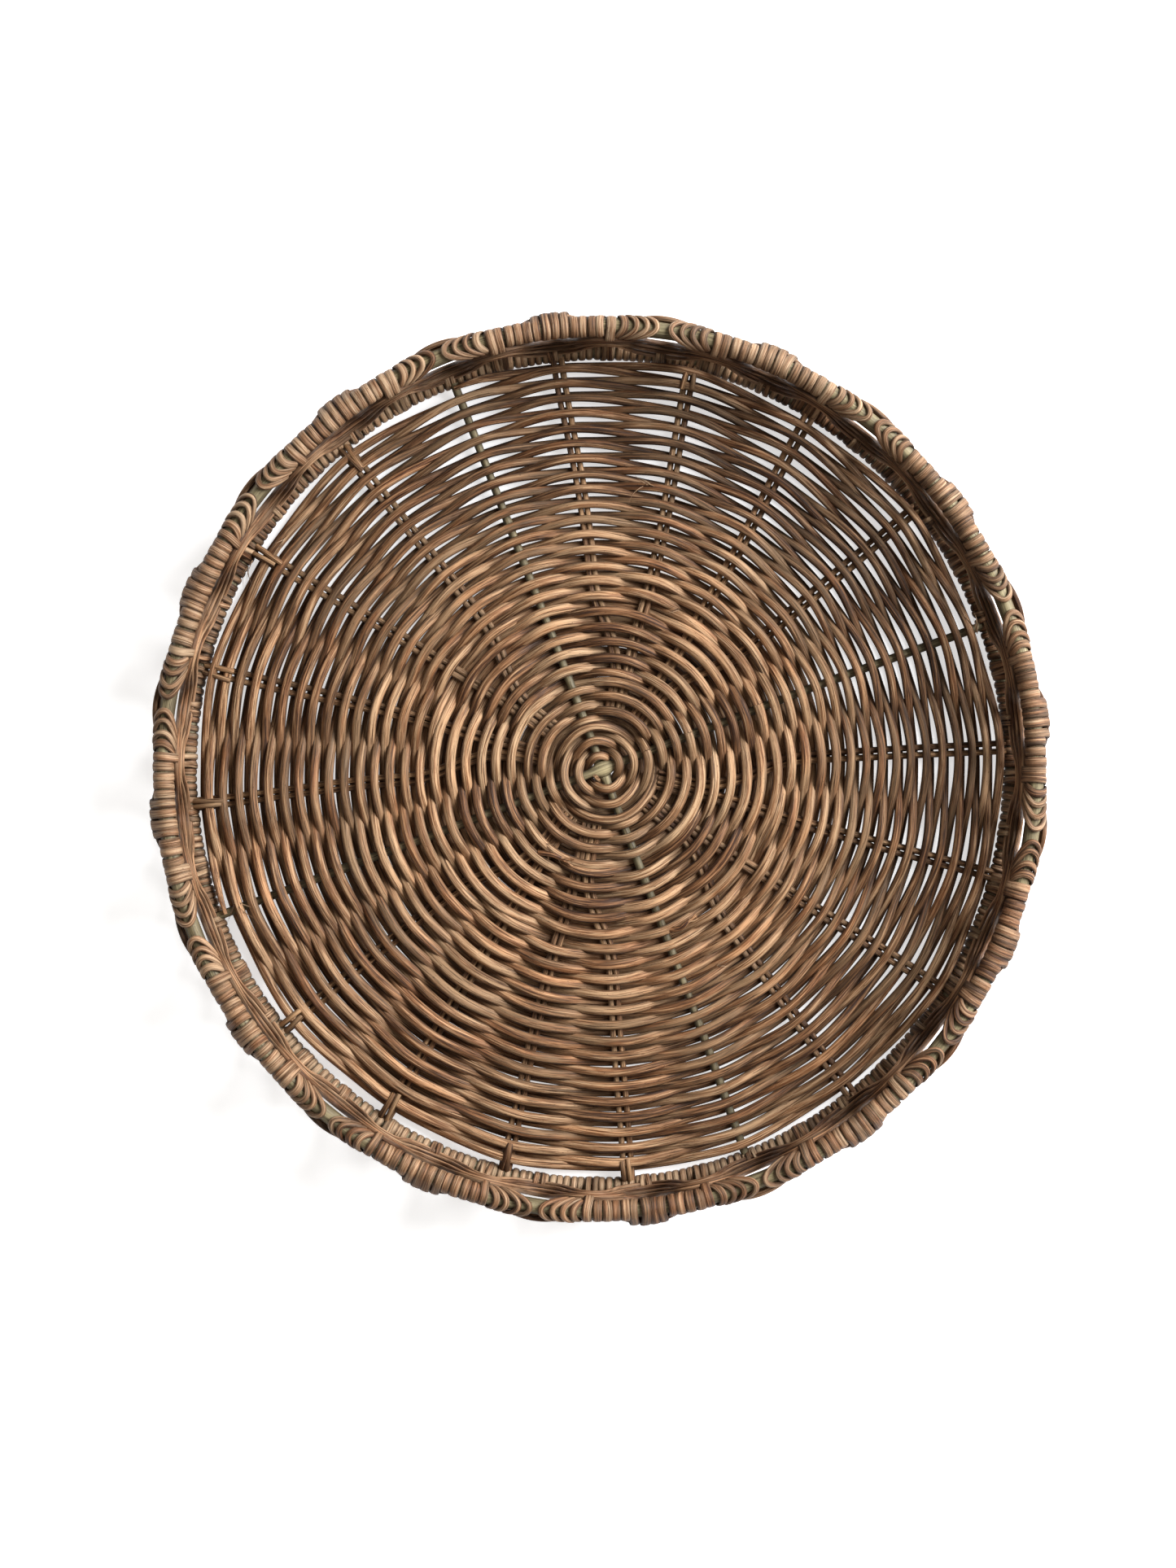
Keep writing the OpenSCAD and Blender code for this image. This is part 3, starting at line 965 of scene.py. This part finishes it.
def build_lashing(number):
    """A strip of peel round the upper hoop that takes in the outer crest at its middle, and the
    top cane of the inner crest on each side of it."""
    rng = np.random.default_rng(700 + number)
    piece = Piece("top_lashing_peel_%02d" % number, 700 + number)
    centre_angle = FIRST_LASHING + 360 / LASHINGS * (number - 1)
    mm_per_degree = math.pi / 180 * UPPER_R
    feet, bows = lashing_feet(rng)
    centre = np.array([UPPER_R, UPPER_Z])
    inner_crest = WAVE_STEP / 2 * mm_per_degree
    per_turn = 24
    phi = np.linspace(-math.pi / 2, 1.5 * math.pi, per_turn, endpoint=False)
    top = np.clip(np.sin(phi), 0, 1) ** 0.85
    inside = np.clip(-np.cos(phi), 0, 1) ** 2
    below = (phi + math.pi / 2) / TAU
    paths = []
    widths = []
    thicks = []
    tones = []
    turn = math.radians(centre_angle)
    # The lashings are palest on the left of the photo and reddest at its bottom.
    bright = 0.45 - 0.15 * math.cos(turn) + 0.05 * math.sin(turn)
    tone = np.array([bright, 0.5 - 0.35 * math.sin(turn), rng.uniform(0.1, 0.5)])
    for j, foot in enumerate(feet):
        points = circle_points(centre, POLE_R + 0.3)
        if abs(foot) < OUTER_CREST_HALF:
            points += cane_sections(1, foot, (1, 2, 3, 4))
        near = abs(abs(foot) - inner_crest)
        if near < INNER_CREST_HALF:
            points += cane_sections(-1, near, (4,), 1.2)
        radius = hull_radius(points, centre, phi) + rng.uniform(0.35, 0.7) + 0.07 * abs(bows[j])
        # Under the hoop each wrap slides half way over to the next one.
        ahead = (feet[j + 1] - foot) if j + 1 < len(feet) else 0
        behind = (foot - feet[j - 1]) if j > 0 else 0
        slide = ahead / 2 * step((below - 0.74) / 0.26) - behind / 2 * step((0.26 - below) / 0.26)
        pull = 0.3 * (abs(foot) - inner_crest) if abs(foot) > inner_crest else 0
        x = foot + slide + bows[j] * top - math.copysign(pull, foot) * inside
        angle = centre_angle + x / mm_per_degree
        section = np.stack([centre[0] + radius * np.cos(phi), centre[1] + radius * np.sin(phi)], axis=1)
        paths.append(polar(section[:, 0], angle, section[:, 1]))
        rope = np.clip(abs(bows[j]) / 6, 0, 1)
        widths.append(np.full(per_turn, 2.6 - 1.05 * rope + rng.uniform(-0.15, 0.15)))
        thicks.append(np.full(per_turn, 0.62 + 0.55 * rope))
        shift = tone + [rng.uniform(-0.25, 0.25), rng.uniform(-0.1, 0.1), rng.uniform(-0.1, 0.1)]
        tones.append(np.tile(np.clip(shift, 0, 1), (per_turn, 1)))
    path = blurred(np.concatenate(paths), 0.7)
    widths = blurred(np.concatenate(widths), 3)
    thicks = blurred(np.concatenate(thicks), 3)
    angle_of = np.degrees(np.arctan2(path[:, 1], path[:, 0]))
    outward = path - polar(UPPER_R, angle_of, UPPER_Z)
    # Painted shade: each wrap is lighter where it faces up and darker underneath.
    shade = np.clip(0.75 + 0.3 * unit(outward)[:, 2], 0.45, 1)
    tones = np.concatenate(tones)
    piece.strand(path, outward, widths, thicks, tone=tones, shade=shade, power=2.0)
    finish_piece(piece, "peel", ["top_lashing_%02d" % number])


def build_trough_ties(side):
    """Two loops of peel round the lower hoop at each trough: they hold the lowest cane of the
    inner band, and all four canes of the outer one."""
    label = "inner" if side < 0 else "outer"
    rng = np.random.default_rng(800 + side)
    piece = Piece(label + "_trough_peel", 800 + side)
    first = FIRST_LASHING + (0 if side < 0 else WAVE_STEP / 2)
    centre = np.array([LOWER_R, LOWER_Z])
    phi = np.linspace(0, TAU, 26, endpoint=False)
    points = circle_points(centre, WRAP_R)
    held = (1,) if side < 0 else (1, 2, 3, 4)
    points += cane_sections(side, HALF_WAVE, held)
    points = np.asarray(points)
    points[:, 1] = np.maximum(points[:, 1], 0.7)
    for w in range(WAVES):
        for loop in (-TIE_OFFSET, TIE_OFFSET):
            radius = hull_radius(points, centre, phi) + rng.uniform(0.25, 0.5)
            off_middle = (loop + rng.uniform(-0.4, 0.4)) / TIE_MM_PER_DEGREE
            place = first + WAVE_STEP * w + off_middle
            angle = place + 0.18 * np.sin(phi + rng.uniform(0, TAU))
            z = np.maximum(centre[1] + radius * np.sin(phi), 0.5)
            path = polar(centre[0] + radius * np.cos(phi), angle, z)
            outward = path - polar(LOWER_R, angle, LOWER_Z)
            tone = tone_of(rng, 0.4, 0.6)
            piece.strand(path, outward, 1.55, 0.5, closed=True, tone=tone, power=2.0)
    finish_piece(piece, "peel", [label + "_trough_ties"], floor=0.02)


# ---- Loose ends ----


def build_stubs():
    """Spoke ends that were turned back over the last row and cut off."""
    rng = np.random.default_rng(61)
    piece = Piece("turned_back_spoke_ends", 61)
    girth = CANE_R * 0.92
    for group in (6, 7, 8, 9, 11, 12, 13, 14, 3):
        angle = 18.0 * group + LEAN[group]
        for lane in (-1.9, 1.5):
            inner = rng.uniform(200, 206)
            r = np.linspace(inner, LOWER_R - POLE_R + 0.5, 14)
            t = (r - inner) / (r[-1] - inner)
            z = BASE_Z + 2.0 + 3.6 * np.sin(math.pi * np.clip(0.25 + 0.75 * t, 0, 1)) - 1.0 * t
            side = lane + rng.uniform(-0.5, 0.5) + rng.uniform(-2, 2) * (1 - t)
            path = polar(r, ARM_ANGLE + angle + np.degrees(side / r), z)
            tone = tone_of(rng, 0.3, 0.6)
            piece.strand(path, UP, girth, girth, sides=10, tone=tone, power=2.0)
    finish_piece(piece, "spoke_cane")


def build_frayed_ends():
    """Ends of weavers that were left on top where a new length was joined on."""
    rng = np.random.default_rng(66)
    piece = Piece("frayed_weaver_ends", 66)
    ends = [((-34, -44), (-20, -48), 1.0), ((35, -84), (46, -79), -2.0)]
    for start, end, bend in ends:
        t = np.linspace(0, 1, 16)
        line = np.array(end, float) - start
        sideways = np.array([-line[1], line[0]]) / np.linalg.norm(line)
        xy = np.array(start) + line * t[:, None] + sideways * (bend * np.sin(math.pi * t))[:, None]
        path = np.column_stack([xy, BASE_Z + 4.4 + 2.0 * np.sin(math.pi * t * 0.8)])
        piece.strand(path, UP, 1.6 - 0.7 * t**2, 1.3 - 0.6 * t, sides=10, tone=(0.3, 0.7, 0.0))
        for _ in range(7):
            tip = path[-4:] + rng.uniform(-0.6, 0.6, (4, 3))
            splay = rng.uniform(-2.4, 2.4) * sideways
            tip[:, :2] += line / np.linalg.norm(line) * np.array([0, 1.5, 3, 4.5])[:, None]
            tip[:, :2] += splay * np.array([0, 0.2, 0.6, 1.1])[:, None]
            piece.strand(resampled(tip, 0.8), UP, 0.3, 0.22, sides=6, tone=(0.9, 1.0, 0.0))
    finish_piece(piece, "weaver_cane")


def build_fibres():
    """Thin fibres that have come off the canes."""
    rng = np.random.default_rng(71)
    piece = Piece("loose_fibres", 71)
    places = [(63, 93), (233, 50), (-160, 205), (-215, 206)]
    places += [(80, 150), (300, 120), (150, 214), (20, 212)]
    for angle, radius in places:
        for _ in range(4):
            heading = math.radians(angle + 90 + rng.uniform(-50, 50))
            length = rng.uniform(5, 13)
            t = np.linspace(0, 1, 9)
            curl = heading + rng.uniform(-0.9, 0.9) * t
            start = polar(radius, angle + rng.uniform(-1, 1), BASE_Z + 5.2)
            steps = np.stack([np.cos(curl), np.sin(curl), 0 * t], axis=1) * length / 8
            path = start + np.cumsum(steps, axis=0)
            path[:, 2] += 2.2 * np.sin(math.pi * t) * rng.uniform(0.3, 1)
            piece.strand(path, UP, 0.28 * (1.1 - t), 0.2 * (1.1 - t), sides=5, tone=tone_of(rng))
    finish_piece(piece, "peel")


# ---- Floor, light, camera ----


def build_stage():
    """A plain pale floor, bright enough to read as the white that the photo is cut out on."""
    mesh = bpy.data.meshes.new("floor")
    half = 4.0
    corners = [(-half, -half, 0), (half, -half, 0), (half, half, 0), (-half, half, 0)]
    mesh.from_pydata(corners, [], [(0, 1, 2, 3)])
    material = bpy.data.materials.new("floor_paper")
    n = Nodes(material)
    shader = n.add("ShaderNodeBsdfPrincipled")
    n.put(shader.inputs["Base Color"], (0.92, 0.93, 0.95, 1.0))
    n.put(shader.inputs["Emission Color"], (1.0, 1.0, 1.0, 1.0))
    n.put(shader.inputs["Emission Strength"], 0.6)
    n.put(shader.inputs["Roughness"], 0.9)
    n.put(shader.inputs["Specular IOR Level"], 0.0)
    output = n.add("ShaderNodeOutputMaterial")
    n.put(output.inputs["Surface"], shader.outputs["BSDF"])
    mesh.materials.append(material)
    floor = bpy.data.objects.new("floor", mesh)
    bpy.context.scene.collection.objects.link(floor)
    floor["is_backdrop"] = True


def area_light(name, place, size, power):
    """A round soft light, turned to face the object."""
    light = bpy.data.lights.new(name, "AREA")
    light.shape = "DISK"
    light.size = size
    light.energy = power
    obj = bpy.data.objects.new(name, light)
    bpy.context.scene.collection.objects.link(obj)
    obj.location = place
    x, y, z = place
    tilt = math.atan2(math.hypot(x, y), z)
    obj.rotation_euler = (tilt, 0, math.atan2(y, x) + math.pi / 2)


def build_light():
    """One large soft light from the upper right of the photo, and a warm, dim sky."""
    world = bpy.data.worlds.new("studio")
    bpy.context.scene.world = world
    world.use_nodes = True
    background = world.node_tree.nodes["Background"]
    background.inputs["Color"].default_value = (1.0, 0.93, 0.84, 1.0)
    background.inputs["Strength"].default_value = 0.3
    area_light("key", (1.42, 0.75, 1.05), 1.7, 104.0)
    scene = bpy.context.scene
    scene.view_settings.view_transform = "Standard"
    scene.view_settings.look = "None"


def build_camera():
    """Straight above the basket, upright as the photo is."""
    data = bpy.data.cameras.new("camera")
    data.sensor_width = 36
    data.lens = 53.0
    data.shift_x = -0.0075
    data.shift_y = -0.0098
    camera = bpy.data.objects.new("camera", data)
    bpy.context.scene.collection.objects.link(camera)
    camera.location = (0, 0, 1.227)
    camera.rotation_euler = (0, 0, 0)
    bpy.context.scene.camera = camera


build_weavers()
build_spokes()
build_sticks()
build_pole("lower_hoop_pole", "lower_hoop", LOWER_R, LOWER_Z, 33)
build_pole("top_hoop_pole", "top_hoop", UPPER_R, UPPER_Z, 34)
build_lower_wrap()
for band_side in (-1, 1):
    for cane in (1, 2, 3, 4):
        build_wave_cane(band_side, cane)
    build_trough_ties(band_side)
for lashing in range(1, LASHINGS + 1):
    build_lashing(lashing)
build_stubs()
build_frayed_ends()
build_fibres()
build_stage()
build_light()
build_camera()


def plain(value):
    """Nested values as plain lists and numbers, for json."""
    if isinstance(value, dict):
        return {key: plain(item) for key, item in value.items()}
    if hasattr(value, "__len__") and not isinstance(value, str):
        return [plain(item) for item in value]
    return value if isinstance(value, str) or value is None else float(value)


{"cad": plain(bounds_at_load), "visual": plain(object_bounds())}
